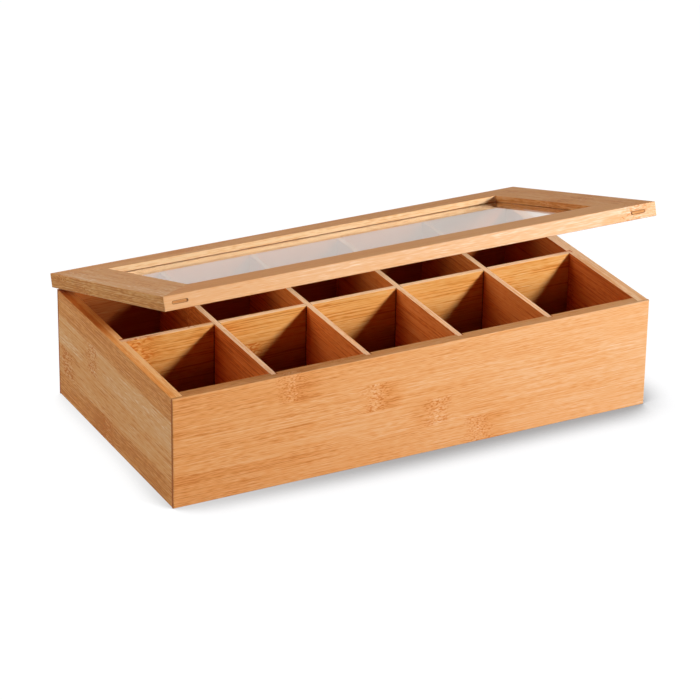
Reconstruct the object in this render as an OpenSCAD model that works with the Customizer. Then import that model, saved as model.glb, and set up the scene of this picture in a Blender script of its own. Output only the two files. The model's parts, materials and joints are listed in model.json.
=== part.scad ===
// Bamboo box with ten compartments and a hinged, windowed lid.
// Millimetres. X runs along the front, Y from front to back, Z up.
// The origin is the middle of the underside of the box.
// The lid is drawn shut and then turned about the hinge pins to lid_angle.

/* [Box] */
// Outside width of the box
box_w = 360; // [260:1:420]
// Outside depth of the box, front to back
box_d = 192; // [140:1:240]
// Height of the walls
box_h = 79.5; // [60:0.5:120]
// Thickness of the four walls
wall_t = 8.5; // [7:0.5:12]
// Thickness of the bottom panel
bottom_t = 4; // [3:0.5:5]
// Depth of the rebate that the bottom panel is glued into
rebate_d = 4; // [3:0.5:4.5]
// Thickness left in front of the rabbet that takes each side wall
corner_lip = 2; // [1.5:0.5:5]

/* [Dividers] */
// Thickness of the divider boards
divider_t = 4.2; // [3:0.1:6]
// Depth of the dadoes that hold the ends of the dividers
dado_d = 3; // [2:0.5:4]
// How far the dividers stand below the rim
divider_drop = 0.5; // [0:0.1:2]

/* [Lid] */
// Outside width of the lid
lid_w = 367; // [266:1:428]
// Depth of the lid, front to back
lid_d = 199; // [147:1:247]
// Thickness of the lid frame
lid_t = 10; // [9:0.5:14]
// Width of the left and right rails
side_rail_w = 31.5; // [24:0.5:40]
// Width of the front rail
front_rail_w = 32; // [24:0.5:40]
// Width of the back rail
back_rail_w = 29.5; // [24:0.5:40]
// Gap between the rim and the lid when it is shut
lid_gap = 0.5; // [0.3:0.1:1]
// Opening angle of the lid as drawn, 0 is shut
lid_angle = 17.5; // [0:0.5:100]

/* [Window] */
// Thickness of the clear pane
pane_t = 2.5; // [2:0.1:3]
// Height of the pane above the underside of the lid
pane_lift = 3; // [2.5:0.1:4]
// How far the pane reaches into the grooves
pane_bite = 5; // [3:0.5:7]
// Slack above the pane in its groove
groove_slack = 0.3; // [0.1:0.1:1]
// Slack between the edge of the pane and the bottom of its groove
pane_slack = 0.5; // [0.2:0.1:1]

/* [Corner tenons] */
// Width of the slot cut through each mitre from the outer edge
slot_w = 11.5; // [8:0.5:13]
// Thickness of the loose tenon and of its slot
tenon_t = 2.5; // [2:0.1:4]
// Width of the loose tenon
tenon_w = 10.9; // [7:0.1:12]
// Depth of the slot
slot_depth = 30; // [22:1:36]
// Distance from the left side of the lid to the middle of the slots at the left
slot_inset_left = 11.5; // [9:0.1:16]
// Distance from the right side of the lid to the middle of the slots at the right
slot_inset_right = 14.5; // [9:0.1:16]

/* [Hinges] */
// Length of each hinge
hinge_len = 30; // [20:1:40]
// Thickness of the leaves
leaf_t = 0.9; // [0.7:0.1:1]
// How far the leaves reach into the wall and the lid
leaf_reach = 7.2; // [6:0.1:7.4]
// Distance of the pin behind the back wall
pin_back = 3.4; // [3:0.1:5]
// Radius of the pin
pin_r = 0.8; // [0.6:0.05:1]
// Gap between the two leaves when the lid is shut
leaf_gap = 0.3; // [0.2:0.1:0.4]
// Length of the wood screws
screw_len = 7; // [5:0.5:7.5]

/* [Hidden] */

// Colours
bamboo_wall = [0.87, 0.63, 0.38];
bamboo_divider = [0.80, 0.52, 0.28];
bamboo_lid = [0.78, 0.58, 0.42];
bamboo_tenon = [0.70, 0.46, 0.26];
bamboo_ply = [0.74, 0.50, 0.30];
clear_acrylic = [0.82, 0.86, 0.86, 0.35];
brass = [0.80, 0.64, 0.30];

// Facets of the round parts
fine_fn = 48;
ease_fn = 32;

// Rounding of the arrises
outer_ease = 0.8;
inner_ease = 0.5;
seam_ease = 0.3;
over = 1;

// Inside of the box and its grid of compartments, five columns in two rows
columns = 5;
inner_w = box_w - 2 * wall_t;
inner_d = box_d - 2 * wall_t;
divider_top = box_h - divider_drop;
divider_h = divider_top - bottom_t;
lap_z = bottom_t + divider_h / 2;
cell_w = (inner_w - (columns - 1) * divider_t) / columns;

// Pin axis, the same for both hinges
axis_y = box_d / 2 + pin_back;
axis_z = box_h + lid_gap / 2;

// Lid when shut
lid_z = box_h + lid_gap;
lid_back = box_d / 2;
lid_front = lid_back - lid_d;
window_w = lid_w - 2 * side_rail_w;
window_back = lid_back - back_rail_w;
window_front = lid_front + front_rail_w;
groove_z = lid_z + pane_lift;
groove_h = pane_t + groove_slack;
groove_depth = pane_bite + pane_slack;

// Hinge parts
knuckles = 5;
knuckle_gap = 0.2;
knuckle_pitch = hinge_len / knuckles;
knuckle_r = pin_r + leaf_t + 0.05;
knuckle_clear = 0.3;
running_clear = 0.05;
pin_head_r = 1.25;
pin_head_h = 0.5;
hinge_x = inner_w / 2 - cell_w / 2;
screw_spread = hinge_len - 12;
screw_r = 0.9;
screw_head_r = 1.8;
screw_tip_r = 0.2;
screw_tip_h = 1.6;
screw_slot_w = 0.4;
screw_slot_h = 0.35;
screw_y = lid_back - leaf_reach / 2;
tenon_recess = 0.2;

function divider_x(i) = -inner_w / 2 + i * cell_w + (i - 0.5) * divider_t;

// What easing with the given radius takes off the corner at the origin
module arris(radius) {
    if (radius > 0)
        difference() {
            translate([-over, -over])
                square(radius + over);
            translate([radius, radius])
                circle(r = radius, $fn = ease_fn);
        }
}

// Outline of a board with a radius for each corner, anticlockwise from the origin
module board_outline(width, height, radii) {
    corners = [[0, 0], [width, 0], [width, height], [0, height]];
    difference() {
        square([width, height]);
        for (i = [0 : 3])
            translate(corners[i])
                rotate(i * 90)
                    arris(radii[i]);
    }
}

// Sweeps a Y-Z outline along X, centred
module along_x(length) {
    rotate([90, 0, 90])
        linear_extrude(height = length, center = true)
            children();
}

// Sweeps an outline drawn in X-Z along Y, centred
module along_y(length) {
    rotate([90, 0, 0])
        linear_extrude(height = length, center = true)
            children();
}

// Section of a wall: x is 0 at its outer face, with the rebate low on its inner face
module wall_section() {
    difference() {
        board_outline(wall_t, box_h, [outer_ease, 0, inner_ease, outer_ease]);
        translate([wall_t - rebate_d, -over])
            square([rebate_d + over, bottom_t + over]);
    }
}

// Keeps what stands inside a plan that is width by depth, with its upright corners eased
module eased_in_plan(width, depth, radius) {
    intersection() {
        children();
        translate([-width / 2, -depth / 2, -over])
            linear_extrude(height = box_h + 2 * over)
                board_outline(width, depth, [radius, radius, radius, radius]);
    }
}

// Slots for the ends of the cross dividers, in the inner face of the front or back wall
module cross_dadoes() {
    for (i = [1 : columns - 1])
        translate([divider_x(i) - divider_t / 2, wall_t - dado_d, bottom_t])
            cube([divider_t, dado_d + over, box_h]);
}

// A full-width wall along the front edge of the box, rabbeted for the side walls
module long_wall() {
    translate([0, -box_d / 2, 0])
        difference() {
            along_x(box_w)
                wall_section();
            for (side = [-1, 1])
                translate([side * box_w / 2 - wall_t, corner_lip, -over])
                    cube([2 * wall_t, wall_t, box_h + 2 * over]);
            cross_dadoes();
        }
}

module front_wall() {
    color(bamboo_wall)
        eased_in_plan(box_w, box_d, outer_ease)
            long_wall();
}

module back_wall() {
    color(bamboo_wall)
        difference() {
            eased_in_plan(box_w, box_d, outer_ease)
                mirror([0, 1, 0])
                    long_wall();
            both_hinges()
                leaf_pocket(-1);
            both_hinges()
                screw_holes(-1);
        }
}

// A side wall at the left, between the lips of the front and back walls.
// Its outer ends are eased, which leaves a fine seam beside each lip.
module side_wall() {
    length = box_d - 2 * corner_lip;
    eased_in_plan(box_w, length, seam_ease)
        translate([-box_w / 2, 0, 0])
            difference() {
                along_y(length)
                    wall_section();
                translate([wall_t - dado_d, -divider_t / 2, bottom_t])
                    cube([dado_d + over, divider_t, box_h]);
            }
}

module left_wall() {
    color(bamboo_wall)
        side_wall();
}

module right_wall() {
    color(bamboo_wall)
        mirror([1, 0, 0])
            side_wall();
}

module bottom_panel() {
    panel_w = inner_w + 2 * rebate_d;
    panel_d = inner_d + 2 * rebate_d;
    color(bamboo_ply)
        translate([-panel_w / 2, -panel_d / 2, 0])
            cube([panel_w, panel_d, bottom_t]);
}

// Section of a divider board, standing on the bottom panel
module divider_section() {
    translate([-divider_t / 2, bottom_t])
        board_outline(divider_t, divider_h, [0, 0, inner_ease, inner_ease]);
}

// The long divider is notched from above where the cross dividers lap it
module long_divider() {
    color(bamboo_divider)
        difference() {
            along_x(inner_w + 2 * dado_d)
                divider_section();
            for (i = [1 : columns - 1])
                translate([divider_x(i) - divider_t / 2, -divider_t, lap_z])
                    cube([divider_t, 2 * divider_t, divider_h]);
        }
}

// A cross divider is notched from below over the long one
module cross_divider(i) {
    color(bamboo_divider)
        translate([divider_x(i), 0, 0])
            difference() {
                along_y(inner_d + 2 * dado_d)
                    divider_section();
                translate([-divider_t, -divider_t / 2, 0])
                    cube([2 * divider_t, divider_t, lap_z]);
            }
}

// Turns what is drawn shut to the angle at which the lid stands
module on_lid() {
    translate([0, axis_y, axis_z])
        rotate([-lid_angle, 0, 0])
            translate([0, -axis_y, -axis_z])
                children();
}

// Section of a lid rail: x is 0 at the outer edge and runs in to the window
module rail_section(width) {
    difference() {
        board_outline(width, lid_t, [outer_ease, inner_ease, inner_ease, outer_ease]);
        translate([width - groove_depth, pane_lift])
            square([groove_depth + over, groove_h]);
    }
}

// Plan of one mitred rail, from corner to corner of the lid
module rail_plan(points) {
    intersection() {
        polygon(points);
        translate([-lid_w / 2, lid_front])
            board_outline(lid_w, lid_d, [outer_ease, outer_ease, outer_ease, outer_ease]);
    }
}

// Cuts a swept rail to its plan and takes the tenon slots out of it
module mitred(points) {
    difference() {
        intersection() {
            children();
            translate([0, 0, lid_z - over])
                linear_extrude(height = lid_t + 2 * over)
                    rail_plan(points);
        }
        for (side = [-1, 1])
            for (end = [-1, 1])
                corner_slot(side, end);
    }
}

lid_outer = [
    [-lid_w / 2, lid_front], [lid_w / 2, lid_front],
    [lid_w / 2, lid_back], [-lid_w / 2, lid_back]
];
lid_inner = [
    [-window_w / 2, window_front], [window_w / 2, window_front],
    [window_w / 2, window_back], [-window_w / 2, window_back]
];

module lid_front_rail() {
    color(bamboo_lid)
        on_lid()
            mitred([lid_outer[0], lid_outer[1], lid_inner[1], lid_inner[0]])
                translate([0, lid_front, lid_z])
                    along_x(lid_w)
                        rail_section(front_rail_w);
}

module lid_back_rail() {
    color(bamboo_lid)
        on_lid()
            difference() {
                mitred([lid_outer[2], lid_outer[3], lid_inner[3], lid_inner[2]])
                    translate([0, lid_back, lid_z])
                        mirror([0, 1, 0])
                            along_x(lid_w)
                                rail_section(back_rail_w);
                both_hinges()
                    leaf_pocket(1);
                both_hinges()
                    screw_holes(1);
            }
}

// A side rail swept at the left
module side_rail() {
    translate([-lid_w / 2, lid_front + lid_d / 2, lid_z])
        along_y(lid_d)
            rail_section(side_rail_w);
}

module lid_left_rail() {
    color(bamboo_lid)
        on_lid()
            mitred([lid_outer[3], lid_outer[0], lid_inner[0], lid_inner[3]])
                side_rail();
}

module lid_right_rail() {
    color(bamboo_lid)
        on_lid()
            mitred([lid_outer[1], lid_outer[2], lid_inner[2], lid_inner[1]])
                mirror([1, 0, 0])
                    side_rail();
}

module lid_window() {
    pane_w = window_w + 2 * pane_bite;
    pane_d = window_back - window_front + 2 * pane_bite;
    color(clear_acrylic)
        on_lid()
            translate([-pane_w / 2, window_front - pane_bite, groove_z])
                cube([pane_w, pane_d, pane_t]);
}

// Outline with half-round ends, its left end at 0
module stadium(width, height) {
    radius = height / 2;
    union() {
        translate([radius, -radius])
            square([width - height, height]);
        translate([radius, 0])
            circle(r = radius, $fn = fine_fn);
        translate([width - radius, 0])
            circle(r = radius, $fn = fine_fn);
    }
}

// A slot or tenon run in from the front (end -1) or back (end 1) edge of the lid.
// side is -1 at the left and 1 at the right. Both share their outer end.
module corner_key(side, end, width, depth, from) {
    edge_y = end < 0 ? lid_front : lid_back;
    slot_inset = side < 0 ? slot_inset_left : slot_inset_right;
    start_x = lid_w / 2 - slot_inset - slot_w / 2;
    translate([side * (start_x + slot_w), edge_y - end * (from + depth / 2), lid_z + lid_t / 2])
        mirror([side > 0 ? 1 : 0, 0, 0])
            along_y(depth)
                stadium(width, tenon_t);
}

module corner_slot(side, end) {
    corner_key(side, end, slot_w, slot_depth + over, -over);
}

module lid_tenon(side, end) {
    color(bamboo_tenon)
        on_lid()
            corner_key(side, end, tenon_w, slot_depth - tenon_recess, tenon_recess);
}

module both_hinges() {
    for (side = [-1, 1])
        translate([side * hinge_x, 0, 0])
            children();
}

// Pocket for a leaf: level -1 is in the rim of the back wall, 1 in the underside of the lid
module leaf_pocket(level) {
    pocket_h = leaf_gap / 2 + leaf_t;
    z_low = level < 0 ? axis_z - pocket_h : axis_z;
    translate([-hinge_len / 2, lid_back - leaf_reach, z_low])
        cube([hinge_len, leaf_reach + over, pocket_h]);
}

// One countersunk wood screw with its head at the top, pointing down
module wood_screw() {
    difference() {
        rotate_extrude($fn = fine_fn)
            polygon([
                [0, 0], [screw_head_r, 0], [screw_r, -leaf_t], [screw_r, -screw_len + screw_tip_h],
                [screw_tip_r, -screw_len], [0, -screw_len]
            ]);
        translate([-screw_head_r, -screw_slot_w / 2, -screw_slot_h])
            cube([2 * screw_head_r, screw_slot_w, screw_slot_h + over]);
    }
}

// Puts its children at the two screw places of a leaf, pointing into the wood
module at_screws(level) {
    for (end = [-1, 1])
        translate([end * screw_spread / 2, screw_y, axis_z + level * leaf_gap / 2])
            mirror([0, 0, level > 0 ? 1 : 0])
                children();
}

module screw_holes(level) {
    at_screws(level)
        translate([0, 0, -screw_len])
            cylinder(r = screw_r, h = screw_len, $fn = fine_fn);
}

// Section of a leaf at its own knuckles, around the pin
module knuckle_section(bore_r) {
    difference() {
        union() {
            circle(r = knuckle_r, $fn = fine_fn);
            translate([-knuckle_r - knuckle_clear, -leaf_gap / 2 - leaf_t])
                square([knuckle_r + knuckle_clear, leaf_t]);
        }
        circle(r = bore_r, $fn = fine_fn);
    }
}

// A leaf under the pin, with the knuckles from first on, every second one
module leaf(first, bore_r) {
    plate_y = -pin_back - leaf_reach;
    difference() {
        union() {
            translate([-hinge_len / 2, plate_y, -leaf_gap / 2 - leaf_t])
                cube([hinge_len, -knuckle_r - knuckle_clear - plate_y, leaf_t]);
            for (i = [first : 2 : knuckles - 1])
                translate([-hinge_len / 2 + (i + 0.5) * knuckle_pitch, 0, 0])
                    along_x(knuckle_pitch - knuckle_gap)
                        knuckle_section(bore_r);
        }
        for (end = [-1, 1])
            translate([end * screw_spread / 2, screw_y - axis_y, -leaf_gap / 2 - leaf_t])
                cylinder(r1 = screw_r, r2 = screw_head_r, h = leaf_t, $fn = fine_fn);
    }
}

module box_leaf(side) {
    color(brass)
        translate([side * hinge_x, axis_y, axis_z])
            leaf(0, pin_r);
}

module lid_leaf(side) {
    color(brass)
        on_lid()
            translate([side * hinge_x, axis_y, axis_z])
                mirror([0, 0, 1])
                    leaf(1, pin_r + running_clear);
}

// Pin with a peened head at each end
module hinge_pin(side) {
    color(brass)
        translate([side * hinge_x, axis_y, axis_z])
            rotate([0, 90, 0])
                union() {
                    cylinder(r = pin_r, h = hinge_len - knuckle_gap, center = true, $fn = fine_fn);
                    for (end = [0, 1])
                        mirror([0, 0, end])
                            translate([0, 0, (hinge_len - knuckle_gap) / 2])
                                pin_head();
                }
}

module pin_head() {
    rotate_extrude($fn = fine_fn)
        polygon([
            [0, 0], [pin_head_r, 0], [pin_head_r, pin_head_h * 0.4],
            [pin_head_r * 0.6, pin_head_h], [0, pin_head_h]
        ]);
}

module hinge_box_screws() {
    color(brass)
        both_hinges()
            at_screws(-1)
                wood_screw();
}

module hinge_lid_screws() {
    color(brass)
        on_lid()
            both_hinges()
                at_screws(1)
                    wood_screw();
}

front_wall();
back_wall();
left_wall();
right_wall();
bottom_panel();
long_divider();
cross_divider(1);  // cross_divider_1
cross_divider(2);  // cross_divider_2
cross_divider(3);  // cross_divider_3
cross_divider(4);  // cross_divider_4
lid_front_rail();
lid_back_rail();
lid_left_rail();
lid_right_rail();
lid_window();
lid_tenon(-1, -1);  // lid_tenon_front_left
lid_tenon(1, -1);  // lid_tenon_front_right
lid_tenon(-1, 1);  // lid_tenon_back_left
lid_tenon(1, 1);  // lid_tenon_back_right
box_leaf(-1);  // left_hinge_box_leaf
lid_leaf(-1);  // left_hinge_lid_leaf
hinge_pin(-1);  // left_hinge_pin
box_leaf(1);  // right_hinge_box_leaf
lid_leaf(1);  // right_hinge_lid_leaf
hinge_pin(1);  // right_hinge_pin
hinge_box_screws();
hinge_lid_screws();
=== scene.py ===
"""Bamboo tea box with ten compartments and a hinged, windowed lid."""

import json
import math
from dataclasses import dataclass

import bpy
from mathutils import Matrix, Vector


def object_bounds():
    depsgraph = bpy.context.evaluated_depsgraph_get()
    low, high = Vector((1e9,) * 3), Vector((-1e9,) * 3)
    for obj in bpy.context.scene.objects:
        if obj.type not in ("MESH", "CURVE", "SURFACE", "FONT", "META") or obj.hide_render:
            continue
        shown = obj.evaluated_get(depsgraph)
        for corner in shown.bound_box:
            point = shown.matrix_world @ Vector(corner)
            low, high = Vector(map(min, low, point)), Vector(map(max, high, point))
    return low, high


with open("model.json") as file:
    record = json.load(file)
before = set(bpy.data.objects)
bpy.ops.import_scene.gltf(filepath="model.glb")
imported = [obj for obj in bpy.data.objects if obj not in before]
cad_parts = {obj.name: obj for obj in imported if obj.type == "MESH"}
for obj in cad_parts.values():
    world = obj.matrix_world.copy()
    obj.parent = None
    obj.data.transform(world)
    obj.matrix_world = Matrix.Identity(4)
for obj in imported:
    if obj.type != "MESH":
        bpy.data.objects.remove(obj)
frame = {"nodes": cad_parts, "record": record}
cad_box = [list(corner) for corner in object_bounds()]

scene = bpy.context.scene
nodes = frame["nodes"]
MM = 0.001
AXES = "xyz"

# Sizes read from the frame

floor_height = cad_box[0][2]
lid_joint = frame["record"]["behaviour"]["joints"][0]
hinge_line = Vector(lid_joint["pos_m"])
lid_opening = math.radians(-lid_joint["range_deg"][0])


# Short calls for building a node tree

class Signal:
    """A node's output, which takes part in sums as a number does."""

    def __init__(self, tree, socket):
        self.tree = tree
        self.socket = socket

    def __add__(self, other):
        return self.tree.math("ADD", self, other)

    def __sub__(self, other):
        return self.tree.math("SUBTRACT", self, other)

    def __rsub__(self, other):
        return self.tree.math("SUBTRACT", other, self)

    def __mul__(self, other):
        return self.tree.math("MULTIPLY", self, other)

    def __truediv__(self, other):
        return self.tree.math("DIVIDE", self, other)

    def floor(self):
        return self.tree.math("FLOOR", self)

    def size(self):
        return self.tree.math("ABSOLUTE", self)


class Tree:
    """A node tree, with each node added by a short call."""

    def __init__(self, tree):
        self.tree = tree
        tree.nodes.clear()

    def add(self, kind, **settings):
        node = self.tree.nodes.new(kind)
        for key, value in settings.items():
            setattr(node, key, value)
        return node

    def out(self, node, name=0):
        return Signal(self, node.outputs[name])

    def feed(self, socket, value):
        """Link an output to a socket, or set the socket's own value."""
        if isinstance(value, Signal):
            self.tree.links.new(value.socket, socket)
        else:
            socket.default_value = value

    def math(self, operation, *values):
        node = self.add("ShaderNodeMath", operation=operation)
        for socket, value in zip(node.inputs, values):
            self.feed(socket, value)
        return self.out(node)

    def vector(self, x, y, z):
        node = self.add("ShaderNodeCombineXYZ")
        for socket, value in zip(node.inputs, (x, y, z)):
            self.feed(socket, value)
        return self.out(node)

    def split(self, vector):
        node = self.add("ShaderNodeSeparateXYZ")
        self.feed(node.inputs[0], vector)
        return {axis: self.out(node, axis.upper()) for axis in AXES}

    def noise(self, vector, detail=2.0, roughness=0.5):
        """Soft noise from about -0.5 to 0.5, of one blot to a unit of the vector."""
        node = self.add("ShaderNodeTexNoise")
        self.feed(node.inputs["Vector"], vector)
        node.inputs["Scale"].default_value = 1.0
        node.inputs["Detail"].default_value = detail
        node.inputs["Roughness"].default_value = roughness
        return self.out(node) - 0.5

    def random(self, value):
        """A number from 0 to 1 that differs for each value given."""
        node = self.add("ShaderNodeTexWhiteNoise", noise_dimensions="1D")
        self.feed(node.inputs["W"], value)
        return self.out(node)

    def rise(self, value, low, high, at_low=0.0, at_high=1.0):
        """A smooth step from at_low, where the value is low, to at_high."""
        node = self.add("ShaderNodeMapRange", interpolation_type="SMOOTHSTEP")
        for socket, number in zip(node.inputs, (value, low, high, at_low, at_high)):
            self.feed(socket, number)
        return self.out(node)

    def mix(self, factor, first, second, blend_type="MIX"):
        """One colour mixed into another, each a colour or an output."""
        node = self.add("ShaderNodeMix", data_type="RGBA", blend_type=blend_type)
        for name, value in (("Factor", factor), ("A", first), ("B", second)):
            socket = next(i for i in node.inputs if i.name == name and i.enabled)
            self.feed(socket, value)
        return Signal(self, next(o for o in node.outputs if o.enabled))

    def multiply(self, first, second):
        return self.mix(1.0, first, second, "MULTIPLY")

    def ramp(self, value, stops, interpolation="LINEAR"):
        """A colour ramp through two or more stops of (position, colour)."""
        node = self.add("ShaderNodeValToRGB")
        bar = node.color_ramp
        bar.interpolation = interpolation
        while len(bar.elements) < len(stops):
            bar.elements.new(0.5)
        for element, (position, colour) in zip(bar.elements, stops):
            element.position = position
            element.color = colour
        self.feed(node.inputs["Fac"], value)
        return self.out(node)

    def pick(self, index, values, reach):
        """The value at a whole-numbered index, for values from -reach to reach."""
        count = len(values)
        stops = [(i / count, grey(0.5 + value / reach / 2)) for i, value in enumerate(values)]
        found = self.ramp((index + 0.5) / count, stops, "CONSTANT")
        return (found - 0.5) * reach * 2.0

    def mix_shaders(self, factor, first, second):
        node = self.add("ShaderNodeMixShader")
        for socket, value in zip(node.inputs, (factor, first, second)):
            self.feed(socket, value)
        return self.out(node)


def new_material(name, paint, *values):
    """A material whose surface is the shader that paint returns."""
    material = bpy.data.materials.new(name)
    material.use_nodes = True
    tree = Tree(material.node_tree)
    surface = paint(tree, *values)
    output = tree.add("ShaderNodeOutputMaterial")
    tree.feed(output.inputs["Surface"], surface)
    return material


def grey(level):
    return (level, level, level, 1.0)


def opaque(stain):
    return (*stain, 1.0)


# Colours of bare bamboo, and stains that multiply them, some of them painted shade

CREAM = (0.90, 0.61, 0.37, 1.0)
PALE = (0.81, 0.455, 0.218, 1.0)
HONEY = (0.78, 0.377, 0.139, 1.0)
AMBER = (0.73, 0.293, 0.078, 1.0)
UMBER = (0.58, 0.190, 0.040, 1.0)
WOOD = [(0.0, UMBER), (0.22, AMBER), (0.50, HONEY), (0.78, PALE), (1.0, CREAM)]
EMBER = (0.60, 0.155, 0.025, 1.0)
CRACK = (0.07, 0.022, 0.008, 1.0)
GLUE = (0.27, 0.105, 0.025, 1.0)
END_WOOD = (0.52, 0.17, 0.050, 1.0)
END_PORE = (0.33, 0.09, 0.025, 1.0)

UNSTAINED = (1.0, 1.0, 1.0)
SUNNY = (1.11, 1.06, 0.94)
PEACH = (1.06, 0.97, 0.86)
GOLDEN = (1.14, 1.18, 0.86)
DUSTY = (0.92, 0.94, 1.00)
RUSSET = (1.13, 0.69, 0.38)
# Painted shade for inner faces, and a lighter one for the right wall's inner face
DEEP = (0.68, 0.42, 0.24)
CHESTNUT = (0.84, 0.44, 0.23)
WALNUT = (0.84, 0.92, 0.88)
# Painted shade that deepens downward in the cells, and a darker one for the long divider
GLOOM = (0.80, 0.54, 0.38)
MURK = (0.30, 0.20, 0.14)
BUTTER = (1.12, 1.06, 0.84)
TAN = (0.84, 0.88, 0.94)
OLIVE = (0.90, 0.94, 1.02)
SANDY = (0.97, 1.02, 1.00)
APRICOT = (1.14, 0.95, 0.62)
# Painted shadow on the left wall's rim, where the lid shades it
AUBURN = (0.72, 0.36, 0.12)
OCHRE = (0.84, 0.83, 0.78)

# Figure of the bamboo: length and width of each mark in millimetres, and how rough the
# blots are

SWAY = (40.0, 7.0)
CLUMP = (6.0, 6.0)
WANDER = (8.0, 8.0)
CLOUD = (75.0, 16.0)
COARSE = (95.0, 4.6)
LINE = (75.0, 1.3)
BLOT = (11.0, 1.25)
BLOT_ROUGHNESS = 0.6
THIN = (50.0, 0.58)
FIBRE = (6.0, 0.60)
BUNDLE = (12.0, 0.75)
FIGURE = (40.0, 11.0)
SPECK = (1.8, 0.95)
PIT = (1.9, 0.85)
PORE = (3.0, 0.5)

# Noise below and above which a mark is wholly absent and wholly there, and the same
# for the figure, which is weak or strong. Dark lines gather on the pale coarse marks

LINE_CUT = (0.03, 0.15)
LINE_GATHERING = 0.3
BUNDLE_CUT = (0.12, 0.26)
SPECK_CUT = (-0.02, 0.15)
PIT_CUT = (0.0, 0.15)
PORE_CUT = (-0.08, 0.12)
FIGURE_CUT = (-0.15, 0.20)
FIGURE_STRENGTH = (0.70, 1.30)

# How much each mark lightens or darkens the wood, whose tone is 0 at umber and 1 at
# cream. A base is how much there is of a shade apart from the marks that vary it

STRIP_TONE = 0.06
CLOUD_TONE = 0.20
COARSE_TONE = 0.12
FIBRE_TONE = 0.58
THIN_TONE = 0.64
BUNDLE_TONE = 0.06
PIT_TONE = 0.28
FLANK_TONE = 0.34
FLANK_BASE = 0.4
STREAK_TONE = 0.16
STREAK_BASE = 0.35
SEAM_TONE = 0.06
PLY_SEAM_TONE = 0.12

# The node in millimetres: distance between two of a culm's, how far it sways, its
# ragged outline, and how far from its line each part of it fades in

INTERNODE = 400.0
SWAY_REACH = 10.0
RAGGED_KNOT = 14.0
RAGGED_CORE = 8.0
KNOT_FADE = (13.0, 3.0)
CORE_FADE = (6.0, 0.5)
FLANK_FROM_NODE = 11.0
FLANK_FADE = (15.0, 2.0)
BEND_FADE = (26.0, 3.0)
BEND_REACH = 4.0

# Seams, hairlines of painted shade at the joints and the streak in millimetres, from
# where they fade in to where they are full

HAIR = 0.02
SEAM_FADE = (0.22, 0.08)
PLY_SEAM_FADE = (0.16, 0.05)
STREAK_FADE = (5.0, 1.5)
STREAK_END = 20.0
RAGGED_STREAK = 4.0
CRACK_FADE = (0.75, 0.30)
CRACK_SHARE = 0.65
GLUE_WIDTHS = (0.75, 0.25)
GLUE_SHARE = 0.8

# How squarely a face has to look along an axis to count as facing it

FACING = (0.5, 0.9)
END_FACING = (0.75, 0.95)

# Numbers that keep the chances of strips, plies and boards apart

PLY_KEY = 13.0
BOARD_KEY = 101.0
SHIFT_RANGE = 57.0

# Lacquer, which is shinier where the fibres sink, and the relief of the grain under it

LACQUER_SHINE = 0.10
LACQUER_ROUGHNESS = (0.46, 0.60)
SUNK_AND_RAISED = (-0.3, 0.3)
END_ROUGHNESS = 0.15
SHARP_RELIEF = 0.6
BLOT_RELIEF = 0.3
SPECK_RELIEF = 0.4
RELIEF_STRENGTH = 0.35
RELIEF_HEIGHT = 0.05 * MM


@dataclass
class Look:
    """What sets one board apart from plain bamboo. Lengths are in millimetres."""

    # Width of the strips and of the first one, and the plies through the board
    strip: float = 20.0
    first: float = 20.0
    plies: int = 2

    # Tone of each strip, and painted light: what is added to it in 100 mm along the board
    tones: tuple = (0.0, 0.0)
    drift: float = 0.0

    # Place of the node in each strip, and how much further along it is in the next ply
    nodes_at: tuple = (0.0, 60.0)
    ply_step: float = 40.0

    # Strength of the dark lines, the grain, the clouds, the short blots and the marks at a node
    lines: float = 0.06
    grain: float = 1.0
    clouds: float = 1.0
    blots: float = 0.03
    specks: float = 0.26
    pit_size: float = 1.0
    ember: float = 0.4

    # Stain on the faces
    stain: tuple = UNSTAINED

    # Tone of each ply on the edges, their stain, and the painted shadow it turns to
    # between two places along the board, where the lid shades the rim
    edge_tones: tuple = (0.0, 0.0)
    rim: tuple = UNSTAINED
    far_rim: tuple = ()

    # Painted shade on the inner face, which is the high side for 1 and the low side for -1
    inner_side: float = 0.0
    inner_stain: tuple = UNSTAINED

    # Painted shade that deepens downward, on the inner face or, in the cells, on both faces
    in_cells: bool = False
    gloom: tuple = GLOOM
    gloom_reach: tuple = (5.0, 70.0)

    # Dark streak: how far it is from the high edge, and where along the board it ends
    streak: tuple = ()

    # Where other boards stand in grooves: start and stop of each along this board
    joints: tuple = ()

    # Whether the board is a loose tenon with half-round sides, outlined in glue
    tenon: bool = False


def board_corners(node):
    """The lowest and highest corner of a board in millimetres, with the lid closed."""
    mesh = nodes[node].data
    points = [vertex.co.copy() for vertex in mesh.vertices]
    if node.startswith("lid"):
        turn = Matrix.Rotation(lid_opening, 4, "X")
        points = [turn @ (point - hinge_line) + hinge_line for point in points]
    low = Vector(min(point[i] for point in points) for i in range(3)) / MM
    high = Vector(max(point[i] for point in points) for i in range(3)) / MM
    return low, high


def turned_shut(tree, vector, on_lid, centre):
    """A vector as it is when the lid is closed."""
    if not on_lid:
        return vector
    turn = tree.add("ShaderNodeVectorRotate", rotation_type="X_AXIS")
    turn.inputs["Center"].default_value = centre
    turn.inputs["Angle"].default_value = lid_opening
    tree.feed(turn.inputs["Vector"], vector)
    return tree.out(turn)


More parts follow.
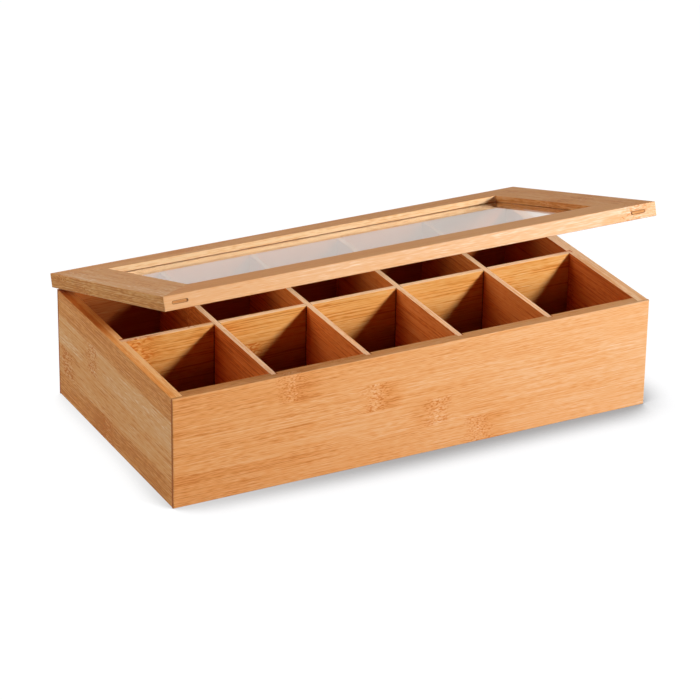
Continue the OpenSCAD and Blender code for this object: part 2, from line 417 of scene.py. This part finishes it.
class Bamboo:
    """Pressed strips of bamboo, each with its own tone and its own node.

    The strips run along one axis, lie side by side across another, and are counted
    from the high end of that axis. The first may be narrower than the rest.
    """

    def __init__(self, tree, node, along, across, seed, look):
        self.tree = tree
        self.look = look
        self.along = along
        self.across = across
        self.through = next(axis for axis in AXES if axis not in (along, across))
        self.low, self.high = board_corners(node)
        on_lid = node.startswith("lid")
        own = tree.add("ShaderNodeTexCoord")
        self.place = tree.split(turned_shut(tree, tree.out(own, "Object"), on_lid, hinge_line))
        self.normal = tree.split(turned_shut(tree, tree.out(own, "Normal"), on_lid, (0, 0, 0)))
        self.on_edge = tree.rise(self.normal[across].size(), *FACING)
        self.on_end = tree.rise(self.normal[along].size(), *END_FACING)
        self.measure()
        self.count_strips(seed)
        self.grow_node()
        self.grow_fibres()

    def measure(self):
        """Millimetres along the fibres, u, across the strips, v, and through the plies, w.

        They start a hair in from the faces, so that rounding leaves each face in its
        own strip and ply.
        """
        across, through = AXES.index(self.across), AXES.index(self.through)
        self.u = self.place[self.along] / MM
        self.v = self.high[across] + HAIR - self.place[self.across] / MM
        self.w = self.place[self.through] / MM + HAIR - self.low[through]
        self.ply = ((self.high - self.low)[through] + 2 * HAIR) / self.look.plies

    def count_strips(self, seed):
        """The number of the strip and the ply, and chances that go with them."""
        strip = self.look.strip
        self.strip_place = (self.v + (strip - self.look.first)) / strip
        self.strip_count = self.strip_place.floor()
        self.ply_place = self.w / self.ply
        self.ply_count = self.ply_place.floor()
        key = self.strip_count + self.ply_count * PLY_KEY + seed * BOARD_KEY
        self.chance = self.tree.random(key)
        self.other_chance = self.tree.random(key + 0.5)
        self.shift = self.chance * SHIFT_RANGE

    def marks(self, size, offset, v=None, detail=1.0, roughness=0.5):
        """Noise in marks of a length and width, through the plies as across them."""
        length, width = size
        v = v or self.v
        place = self.tree.vector(self.u / length, v / width, self.w / width + offset)
        return self.tree.noise(place, detail, roughness)

    def bands(self, size, offset):
        """Noise in marks of a length and width, alike through the whole ply."""
        length, width = size
        place = self.tree.vector(self.u / length, self.v / width, offset)
        return self.tree.noise(place)

    def grow_node(self):
        """The node, where the culm had its partition: rough, with a shade at one flank."""
        tree, look = self.tree, self.look
        node_line = tree.pick(self.strip_count, look.nodes_at, INTERNODE)
        node_line = node_line + self.ply_count * look.ply_step
        from_node = self.u - node_line + self.bands(SWAY, self.shift) * SWAY_REACH
        from_node = tree.math("WRAP", from_node, -INTERNODE / 2, INTERNODE / 2)
        self.away = from_node.size()
        clump = self.marks(CLUMP, self.shift)
        self.knot = tree.rise(self.away - clump * RAGGED_KNOT, *KNOT_FADE)
        self.core = tree.rise(self.away - clump * RAGGED_CORE, *CORE_FADE)
        flank_side = tree.math("SIGN", self.other_chance - 0.5)
        from_flank = (from_node * flank_side - FLANK_FROM_NODE).size()
        self.flank = tree.rise(from_flank - clump * RAGGED_CORE, *FLANK_FADE)

    def grow_fibres(self):
        """Fibres, which spread and wander where they pass the node.

        Multiples of the shift keep marks of much the same size from falling together.
        """
        tree, shift = self.tree, self.shift
        near_node = tree.rise(self.away, *BEND_FADE)
        bent = self.v + self.marks(WANDER, shift) * near_node * BEND_REACH
        self.cloud = self.marks(CLOUD, shift)
        self.coarse = self.marks(COARSE, shift, bent)
        self.blot = self.marks(BLOT, shift * 2.0, bent, roughness=BLOT_ROUGHNESS)
        self.thin = self.marks(THIN, shift * -1.0, bent, detail=0.0)
        self.fibre = self.marks(FIBRE, shift, bent, detail=0.0)
        self.figure = tree.rise(self.bands(FIGURE, shift * 3.0), *FIGURE_CUT, *FIGURE_STRENGTH)
        line = self.marks(LINE, shift, bent)
        self.line = tree.rise(line + self.coarse * LINE_GATHERING, *LINE_CUT)
        bundle = self.marks(BUNDLE, shift * 3.0, bent, detail=0.0)
        self.bundle = tree.rise(bundle, *BUNDLE_CUT)
        speck = self.marks(SPECK, shift, detail=0.0)
        self.speck = tree.rise(speck, *SPECK_CUT) * self.core
        pit_size = [side * self.look.pit_size for side in PIT]
        pit = self.marks(pit_size, shift * -1.0, detail=0.0)
        self.pit = tree.rise(pit, *PIT_CUT) * self.knot
        self.seam = self.seam_between(self.strip_place, self.look.strip, SEAM_FADE)
        self.ply_seam = self.seam_between(self.ply_place, self.ply, PLY_SEAM_FADE)

    def seam_between(self, count, width, fade):
        """The line where one strip or ply meets the next."""
        return self.tree.rise(self.tree.math("PINGPONG", count, 0.5) * width, *fade)

    def tone(self):
        """All of the figure as one tone, where 0 is umber and 1 is cream."""
        tree, look = self.tree, self.look
        tone = tree.pick(self.strip_count, look.tones, 1.0) + 0.5
        # The part that grows along the board is painted light
        tone = tone + (self.chance - 0.5) * STRIP_TONE + self.u * (look.drift / 100.0)
        tone = tone + (self.cloud * CLOUD_TONE + self.coarse * COARSE_TONE) * look.clouds
        grain = self.fibre * FIBRE_TONE * self.figure + self.thin * THIN_TONE
        grain = grain + self.blot * look.blots - self.bundle * BUNDLE_TONE
        tone = tone + grain * look.grain - self.line * look.lines
        tone = tone + self.speck * look.specks - self.pit * PIT_TONE
        tone = tone - self.flank * (self.coarse + FLANK_BASE) * FLANK_TONE
        if look.streak:
            tone = tone - self.streak() * (self.line + STREAK_BASE) * STREAK_TONE
        tone = tone - self.seam * SEAM_TONE - self.ply_seam * PLY_SEAM_TONE
        return tone + self.on_edge * tree.pick(self.ply_count, look.edge_tones, 1.0)

    def streak(self):
        """A ragged streak along the board that fades out at its end."""
        depth, end = self.look.streak
        beside = (self.v - depth + self.coarse * RAGGED_STREAK).size()
        before_end = self.tree.rise(self.u, end + STREAK_END, end - STREAK_END)
        return self.tree.rise(beside, *STREAK_FADE) * before_end

    def stain(self):
        """The stain on the faces and the edges, with painted shade on the inner face, deepening
        downward on it or, in the cells, on both faces, and a painted shadow on the rim where the
        lid shades it.
        """
        tree, look = self.tree, self.look
        edge_stain = opaque(look.rim)
        if look.far_rim:
            start, stop, far_stain = look.far_rim
            edge_stain = tree.mix(tree.rise(self.u, start, stop), edge_stain, opaque(far_stain))
        stain = tree.mix(self.on_edge, opaque(look.stain), edge_stain)
        if look.inner_side:
            inside = tree.rise(self.normal[self.through] * look.inner_side, *FACING)
            stain = tree.mix(inside, stain, opaque(look.inner_stain))
        if look.inner_side or look.in_cells:
            deep = tree.rise(self.v, *look.gloom_reach)
            deep = deep * (1.0 - self.on_edge if look.in_cells else inside)
            stain = tree.multiply(stain, tree.mix(deep, opaque(UNSTAINED), opaque(look.gloom)))
        return stain

    def cracked(self, colour):
        """Painted shade as dark hairlines in the corners beside the boards that stand in grooves
        in this one.
        """
        for start, stop in self.look.joints:
            beside = (self.u - (start + stop) / 2).size() - (stop - start) / 2
            crack = self.tree.rise(beside, *CRACK_FADE) * (1.0 - self.on_edge)
            colour = self.tree.mix(crack * CRACK_SHARE, colour, CRACK)
        return colour

    def glued(self, colour):
        """A line of glue round the end of a tenon with half-round sides."""
        tree = self.tree
        size = self.high - self.low
        middle = (self.low + self.high) / 2
        beyond = (self.place["x"] / MM - middle.x).size() - (size.x - size.z) / 2
        beyond = tree.math("MAXIMUM", beyond, 0.0)
        above = self.place["z"] / MM - middle.z
        from_spine = tree.math("SQRT", beyond * beyond + above * above)
        glue = tree.rise(from_spine, *(size.z / 2 - width for width in GLUE_WIDTHS))
        return tree.mix(glue * GLUE_SHARE, colour, GLUE)

    def ended(self, colour):
        """Cut ends, which show the bundles as dots and drink more finish."""
        length, width = PORE
        place = self.tree.vector(self.u / length, self.v / width, self.w / width)
        pores = self.tree.noise(place, detail=1.0)
        end = self.tree.mix(self.tree.rise(pores, *PORE_CUT), END_WOOD, END_PORE)
        return self.tree.mix(self.on_end, colour, end)

    def colour(self):
        """The figure in the colours of wood, under its stain and painted shade, with painted
        shade at the joints, and with the ends.
        """
        colour = self.tree.ramp(self.tone(), WOOD)
        colour = self.tree.mix(self.pit * self.look.ember, colour, EMBER)
        colour = self.cracked(self.tree.multiply(colour, self.stain()))
        if self.look.tenon:
            colour = self.glued(colour)
        return self.ended(colour)

    def relief(self):
        """Fibres and specks that stand up, and pits, bundles and seams that sink."""
        sharp = self.fibre - self.bundle - self.pit - self.seam - self.ply_seam
        height = sharp * SHARP_RELIEF + self.blot * BLOT_RELIEF + self.speck * SPECK_RELIEF
        bump = self.tree.add("ShaderNodeBump")
        bump.inputs["Strength"].default_value = RELIEF_STRENGTH
        bump.inputs["Distance"].default_value = RELIEF_HEIGHT
        self.tree.feed(bump.inputs["Height"], height)
        return self.tree.out(bump)

    def surface(self):
        """The shader: coloured wood with its relief, under a dull lacquer."""
        tree = self.tree
        shader = tree.add("ShaderNodeBsdfPrincipled")
        roughness = tree.rise(self.fibre, *SUNK_AND_RAISED, *LACQUER_ROUGHNESS)
        tree.feed(shader.inputs["Base Color"], self.colour())
        tree.feed(shader.inputs["Roughness"], roughness + self.on_end * END_ROUGHNESS)
        tree.feed(shader.inputs["Normal"], self.relief())
        shader.inputs["Specular IOR Level"].default_value = LACQUER_SHINE
        return tree.out(shader)


def bamboo(tree, node, along, across, seed, look):
    """Bamboo for one board, fitted to its place."""
    return Bamboo(tree, node, along, across, seed, look).surface()


# Acrylic and brass

CLEAR_SHEET = (0.985, 0.985, 0.98, 1.0)
ACRYLIC_IOR = 1.49
SMEAR_ROUGHNESS = 0.03
SMEAR_CUT = (-0.2, 0.3)
SMEARS_IN_METRE = 30.0

BRIGHT_BRASS = (0.83, 0.60, 0.27, 1.0)
DULL_BRASS = (0.62, 0.42, 0.16, 1.0)
BRASS_ROUGHNESS = (0.22, 0.42)
DULL_CUT = (-0.2, 0.2)
PATCHES_IN_METRE = 900.0


def acrylic(tree):
    """Clear sheet that lets lamps and soft light through."""
    sheet = tree.add("ShaderNodeBsdfPrincipled")
    sheet.inputs["Base Color"].default_value = CLEAR_SHEET
    sheet.inputs["Transmission Weight"].default_value = 1.0
    sheet.inputs["IOR"].default_value = ACRYLIC_IOR
    place = tree.split(tree.out(tree.add("ShaderNodeTexCoord"), "Object"))
    smear = tree.noise(tree.vector(*(place[axis] * SMEARS_IN_METRE for axis in AXES)))
    tree.feed(sheet.inputs["Roughness"], tree.rise(smear, *SMEAR_CUT, 0.0, SMEAR_ROUGHNESS))
    path = tree.add("ShaderNodeLightPath")
    shadow, diffuse = tree.out(path, "Is Shadow Ray"), tree.out(path, "Is Diffuse Ray")
    passing = tree.math("MAXIMUM", shadow, diffuse)
    clear = tree.add("ShaderNodeBsdfTransparent")
    return tree.mix_shaders(passing, tree.out(sheet), tree.out(clear))


def brass(tree, seed):
    """Plated brass, a little dulled in soft patches."""
    place = tree.split(tree.out(tree.add("ShaderNodeTexCoord"), "Object"))
    patches = tree.vector(*(place[axis] * PATCHES_IN_METRE + seed for axis in AXES))
    dull = tree.noise(patches, detail=4.0)
    metal = tree.add("ShaderNodeBsdfPrincipled")
    tree.feed(metal.inputs["Base Color"], tree.mix(dull + 0.5, BRIGHT_BRASS, DULL_BRASS))
    tree.feed(metal.inputs["Roughness"], tree.rise(dull, *DULL_CUT, *BRASS_ROUGHNESS))
    metal.inputs["Metallic"].default_value = 1.0
    return tree.out(metal)


# Every node's finish

# Painted light on each cross divider, brightest at the left and dimmer to the right
CROSS_BRIGHTNESS = (1.14, 1.03, 0.92, 0.81)


def dress(node, material):
    """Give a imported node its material."""
    for slot in nodes[node].material_slots:
        slot.material = material


def make_board(node, along, across, seed, **look):
    dress(node, new_material(f"{node}_bamboo", bamboo, node, along, across, seed, Look(**look)))


def spans(boards, axis):
    """Where each of some boards starts and stops along an axis, in millimetres."""
    i = AXES.index(axis)
    return [(low[i], high[i]) for low, high in map(board_corners, boards)]


def dress_walls():
    # The front wall's drift is painted light, paler toward the right where the lamp is nearer
    make_board("front_wall", "x", "z", 1, nodes_at=(-94.0, -32.0, 15.0, 47.0), drift=0.09,
               tones=(0.05, 0.03, 0.08, 0.02), edge_tones=(-0.12, -0.20), rim=TAN,
               streak=(61.0, -75.0), inner_side=1.0, inner_stain=DEEP)
    make_board("back_wall", "x", "z", 2, nodes_at=(120.0, 49.0, -22.0, -93.0), lines=0.10,
               edge_tones=(0.05, 0.05), inner_side=-1.0, inner_stain=DEEP)
    # The left wall's rim turns to a painted shadow toward the back, where the lid shades it
    make_board("left_wall", "y", "z", 3, strip=21.8, first=17.6,
               nodes_at=(160.0, 36.0, 80.0, 12.0), tones=(-0.22, 0.22, 0.06, -0.20), lines=0.03,
               grain=1.5, blots=0.26, pit_size=1.25, ember=0.8, stain=SANDY,
               edge_tones=(0.20, 0.66), rim=APRICOT, far_rim=(-4.0, 34.0, AUBURN),
               inner_side=1.0, inner_stain=DEEP)
    make_board("right_wall", "y", "z", 4, nodes_at=(-150.0, -5.0, 50.0, 150.0), drift=0.15,
               lines=0.30, edge_tones=(0.58, 0.54), rim=SUNNY, inner_side=-1.0,
               inner_stain=CHESTNUT)
    # The bottom panel takes the painted inside shade all over: partly a darker board, partly
    # painted shade
    make_board("bottom_panel", "x", "y", 5, nodes_at=(0.0, 83.0, 166.0, -83.0),
               tones=(-0.2, -0.15), lines=0.10, stain=DEEP)


def dress_dividers():
    """The grid, whose cross dividers carry painted light that dims a little from left to right.
    """
    cross_dividers = [f"cross_divider_{count}" for count in range(1, 5)]
    make_board("long_divider", "x", "z", 6, nodes_at=(-162.0, -79.0, 4.0, 87.0), drift=0.03,
               lines=0.32, pit_size=1.5, ember=1.0, stain=GOLDEN, edge_tones=(0.54, 0.54),
               rim=PEACH, inner_side=1.0, inner_stain=DEEP, in_cells=True, gloom=MURK,
               gloom_reach=(8.0, 45.0), joints=spans(cross_dividers, "x"))
    for count, (node, brightness) in enumerate(zip(cross_dividers, CROSS_BRIGHTNESS), 1):
        make_board(node, "y", "z", 10 + count,
                   nodes_at=tuple(40.0 * count + 67.0 * strip for strip in range(4)),
                   lines=0.34, grain=1.2, stain=tuple(brightness * share for share in RUSSET),
                   edge_tones=(0.64, 0.64), rim=PEACH, inner_side=1.0, inner_stain=DEEP,
                   in_cells=True, joints=spans(["long_divider"], "y"))


def dress_lid():
    make_board("lid_front_rail", "x", "y", 21, nodes_at=(180.0, 163.0), ply_step=6.0, drift=0.07,
               grain=0.8, clouds=0.5, specks=0.06, stain=DUSTY, edge_tones=(0.22, 0.24))
    make_board("lid_back_rail", "x", "y", 22, nodes_at=(-120.0, 165.0), grain=1.2, stain=DUSTY,
               edge_tones=(0.52, 0.46), rim=BUTTER)
    make_board("lid_left_rail", "y", "x", 23, nodes_at=(60.0, 37.0), tones=(0.04, 0.16),
               grain=1.8, stain=OLIVE, edge_tones=(-0.52, -0.44), rim=WALNUT)
    make_board("lid_right_rail", "y", "x", 24, nodes_at=(-70.0, -47.0), grain=1.6, stain=DUSTY,
               edge_tones=(-0.25, -0.25))
    for side in ("left", "right"):
        for seed, end in ((30, "front"), (31, "back")):
            make_board(f"lid_tenon_{end}_{side}", "x", "z", seed, plies=1, nodes_at=(80.0, 80.0),
                       tones=(-0.06, -0.06), stain=OCHRE, tenon=True)
    dress("lid_window", new_material("window_acrylic", acrylic))


def dress_hinges():
    for side, seed in (("left", 1.0), ("right", 5.0)):
        metal = new_material(f"{side}_hinge_brass", brass, seed)
        for part in ("box_leaf", "lid_leaf", "pin"):
            dress(f"{side}_hinge_{part}", metal)
    screws = new_material("screw_brass", brass, 9.0)
    dress("hinge_box_screws", screws)
    dress("hinge_lid_screws", screws)


# Studio, with lengths in metres, lamps in watts and the camera's lens in millimetres

CAMERA_PLACE = Vector((-0.9432, -1.7998, 0.9961))
CAMERA_AIM = Vector((-0.0036, -0.0037, 0.0395))
CAMERA_ROLL = math.radians(0.9)
CAMERA_LENS = 166.57
CAMERA_SENSOR = 36.0

KEY_PLACE = Vector((0.85, -1.35, 0.78))
KEY_RADIUS = 0.125
KEY_POWER = 124.0
KEY_COLOUR = (0.95, 1.0, 1.14)

FILL_PLACE = Vector((-1.3, 0.9, 0.75))
FILL_SIZE = 1.0
FILL_POWER = 14.4

TOP_PLACE = Vector((-0.3, 0.5, 1.6))
TOP_SIZE = 0.8
TOP_POWER = 6.6

SKY_LEVEL = 0.15
SKY_TOP = 0.25
MIRRORED_SKY = (0.62, 0.60, 0.58, 1.0)

FLOOR_HALF = 6.0
FLOOR_BOUNCE = 0.65
FLOOR_SHOWN = 0.08
FLOOR_GLOW = 0.97
MIRRORED_FLOOR = (0.84, 0.76, 0.70, 1.0)

# Shadow on the floor: how far it reaches, how dark it is and where it is full, by the
# share of open sky. It is weak on one side and strong on the other: the way there, where
# it turns, and for each side the open sky at which it starts and its strength

SHADOW_REACH = 0.035
SHADOW_DEPTH = 0.66
SHADOW_FULL = 0.5
SHADOW_SAMPLES = 16
SHADOW_WAY = (0.6, -0.8)
SHADOW_TURN = (-0.12, 0.10)
SHADOW_START = (0.70, 1.0)
SHADOW_STRENGTH = (0.25, 1.0)


def aimed(place):
    """A placing at a point, facing the middle of the object."""
    look = (CAMERA_AIM - place).to_track_quat("-Z", "Y").to_matrix().to_4x4()
    return Matrix.Translation(place) @ look


def add_camera():
    data = bpy.data.cameras.new("camera")
    data.lens = CAMERA_LENS
    data.sensor_width = CAMERA_SENSOR
    camera = bpy.data.objects.new("camera", data)
    scene.collection.objects.link(camera)
    camera.matrix_world = aimed(CAMERA_PLACE) @ Matrix.Rotation(CAMERA_ROLL, 4, "Z")
    scene.camera = camera


def add_key():
    data = bpy.data.lights.new("key", "POINT")
    data.energy = KEY_POWER
    data.color = KEY_COLOUR
    data.shadow_soft_size = KEY_RADIUS
    lamp = bpy.data.objects.new("key", data)
    lamp.location = KEY_PLACE
    scene.collection.objects.link(lamp)


def add_soft_lamp(name, place, size, power):
    """A square soft lamp that faces the middle of the object."""
    data = bpy.data.lights.new(name, "AREA")
    data.energy = power
    data.size = size
    lamp = bpy.data.objects.new(name, data)
    lamp.matrix_world = aimed(place)
    scene.collection.objects.link(lamp)


def seen_share(tree):
    """1 for the camera, mirrors and glass, and 0 for the soft light on the object."""
    path = tree.add("ShaderNodeLightPath")
    seen = tree.math("MAXIMUM", tree.out(path, "Is Camera Ray"), tree.out(path, "Is Glossy Ray"))
    return tree.math("MAXIMUM", seen, tree.out(path, "Is Transmission Ray"))


def white_or_mirrored(tree, mirrored_colour):
    """White, apart from what mirrors show."""
    mirrored = tree.out(tree.add("ShaderNodeLightPath"), "Is Glossy Ray")
    return tree.mix(mirrored, grey(1.0), mirrored_colour)


def add_world():
    """Soft light that is strongest from the sides, in front of a white backdrop."""
    world = bpy.data.worlds.new("studio")
    scene.world = world
    world.use_nodes = True
    tree = Tree(world.node_tree)
    direction = tree.split(tree.out(tree.add("ShaderNodeTexCoord"), "Generated"))
    soft = tree.add("ShaderNodeBackground")
    soft.inputs["Color"].default_value = grey(1.0)
    tree.feed(soft.inputs["Strength"], tree.rise(direction["z"], 0.0, SKY_TOP, SKY_LEVEL, 0.0))
    white = tree.add("ShaderNodeBackground")
    tree.feed(white.inputs["Color"], white_or_mirrored(tree, MIRRORED_SKY))
    output = tree.add("ShaderNodeOutputWorld")
    shown = tree.mix_shaders(seen_share(tree), tree.out(soft), tree.out(white))
    tree.feed(output.inputs["Surface"], shown)


def floor_shadow(tree):
    """The soft shadow painted on the floor's glow, most of it at the front right."""
    nearness = tree.add("ShaderNodeAmbientOcclusion", samples=SHADOW_SAMPLES)
    nearness.inputs["Distance"].default_value = SHADOW_REACH
    place = tree.split(tree.out(tree.add("ShaderNodeTexCoord"), "Object"))
    way = place["x"] * SHADOW_WAY[0] + place["y"] * SHADOW_WAY[1]
    start = tree.rise(way, *SHADOW_TURN, *SHADOW_START)
    strength = tree.rise(way, *SHADOW_TURN, *SHADOW_STRENGTH)
    return tree.rise(tree.out(nearness, "AO"), start, SHADOW_FULL) * strength


def floor_paint(tree):
    """Pale floor that reads as white, keeps the object's cast shadow and has a painted shadow
    dimming its glow near the object.
    """
    bounce = tree.add("ShaderNodeBsdfDiffuse")
    bounce.inputs["Color"].default_value = grey(FLOOR_BOUNCE)
    shown = tree.add("ShaderNodeBsdfDiffuse")
    shown.inputs["Color"].default_value = grey(FLOOR_SHOWN)
    glow = tree.add("ShaderNodeEmission")
    tree.feed(glow.inputs["Color"], white_or_mirrored(tree, MIRRORED_FLOOR))
    tree.feed(glow.inputs["Strength"], (1.0 - floor_shadow(tree) * SHADOW_DEPTH) * FLOOR_GLOW)
    lit = tree.add("ShaderNodeAddShader")
    tree.feed(lit.inputs[0], tree.out(shown))
    tree.feed(lit.inputs[1], tree.out(glow))
    return tree.mix_shaders(seen_share(tree), tree.out(bounce), tree.out(lit))


def add_floor():
    mesh = bpy.data.meshes.new("floor")
    plan = ((-1, -1), (1, -1), (1, 1), (-1, 1))
    corners = [(x * FLOOR_HALF, y * FLOOR_HALF, floor_height) for x, y in plan]
    mesh.from_pydata(corners, [], [(0, 1, 2, 3)])
    floor = bpy.data.objects.new("floor", mesh)
    mesh.materials.append(new_material("floor_paint", floor_paint))
    scene.collection.objects.link(floor)


scene.view_settings.view_transform = "Standard"
add_camera()
add_key()
add_soft_lamp("fill", FILL_PLACE, FILL_SIZE, FILL_POWER)
add_soft_lamp("top", TOP_PLACE, TOP_SIZE, TOP_POWER)
add_world()
add_floor()
dress_walls()
dress_dividers()
dress_lid()
dress_hinges()

bpy.context.view_layer.update()
